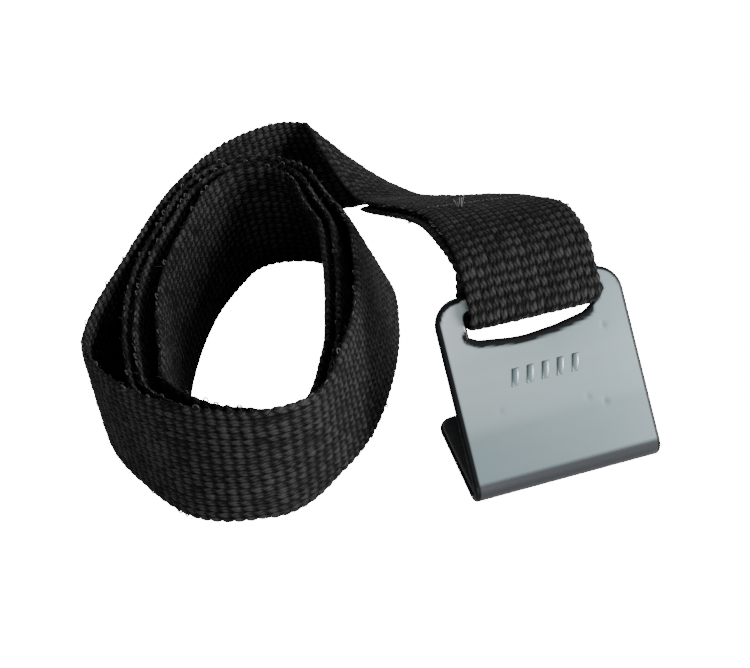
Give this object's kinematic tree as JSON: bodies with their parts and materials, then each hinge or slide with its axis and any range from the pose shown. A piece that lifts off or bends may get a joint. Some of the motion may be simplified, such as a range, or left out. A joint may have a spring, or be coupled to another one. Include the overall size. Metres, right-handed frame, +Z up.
{
  "type": "esd wrist strap",
  "caption": "Coiled woven strap standing on edge, its tail arched over and looped round the bar of a folded sheet-steel clip",
  "frame": {"origin": "centre of the bounding box on the bench plane: X and Y at the middle of the overall box, Z at its bottom", "axes": "+Z up from the bench; X along the clip's cross bar; -Y towards the clip's fold, so Y runs along the coil's long side"},
  "size_m": [0.0974, 0.1032, 0.0362],
  "materials": {
    "webbing": "coarse woven elastic webbing, matt black",
    "thread": "twisted sewing thread, matt black",
    "clip_steel": "gunmetal plating, satin, darker at the cut edges"
  },
  "bodies": {
    "coil": {"strap_outer_turn": "webbing", "strap_second_turn": "webbing", "strap_third_turn": "webbing", "strap_inner_turn": "webbing"},
    "tail": {"strap_tail": "webbing"},
    "arch": {"strap_arch_upper": "webbing", "strap_arch_return": "webbing", "bar_tack_upper": "thread", "bar_tack_under": "thread"},
    "leg": {"strap_bar_loop": "webbing"},
    "clip": {"hook_clip": "clip_steel"}
  },
  "joints": [
    {"name": "tail_swing", "type": "hinge", "parent": "coil", "child": "tail", "pos_m": [0.01243, 0.04772, 0.01225], "axis": [-0.3101, 0.14, 0.9403], "range_deg": [0, 30], "stiffness_Nm_per_rad": 0.08},
    {"name": "arch_lift", "type": "hinge", "parent": "tail", "child": "arch", "pos_m": [0.02532, 0.02523, 0.01467], "axis": [-0.9655, 0.2065, 0.1586], "range_deg": [-4, 30], "stiffness_Nm_per_rad": 0.12},
    {"name": "leg_bend", "type": "hinge", "parent": "arch", "child": "leg", "pos_m": [0.0313, -0.02195, 0.03434], "axis": [1, 0, 0], "range_deg": [-20, 10], "stiffness_Nm_per_rad": 0.08},
    {"name": "clip_swing", "type": "hinge", "parent": "leg", "child": "clip", "pos_m": [0.03073, -0.02842, 0.0277], "axis": [1, 0, 0], "range_deg": [-50, 42]}
  ]
}
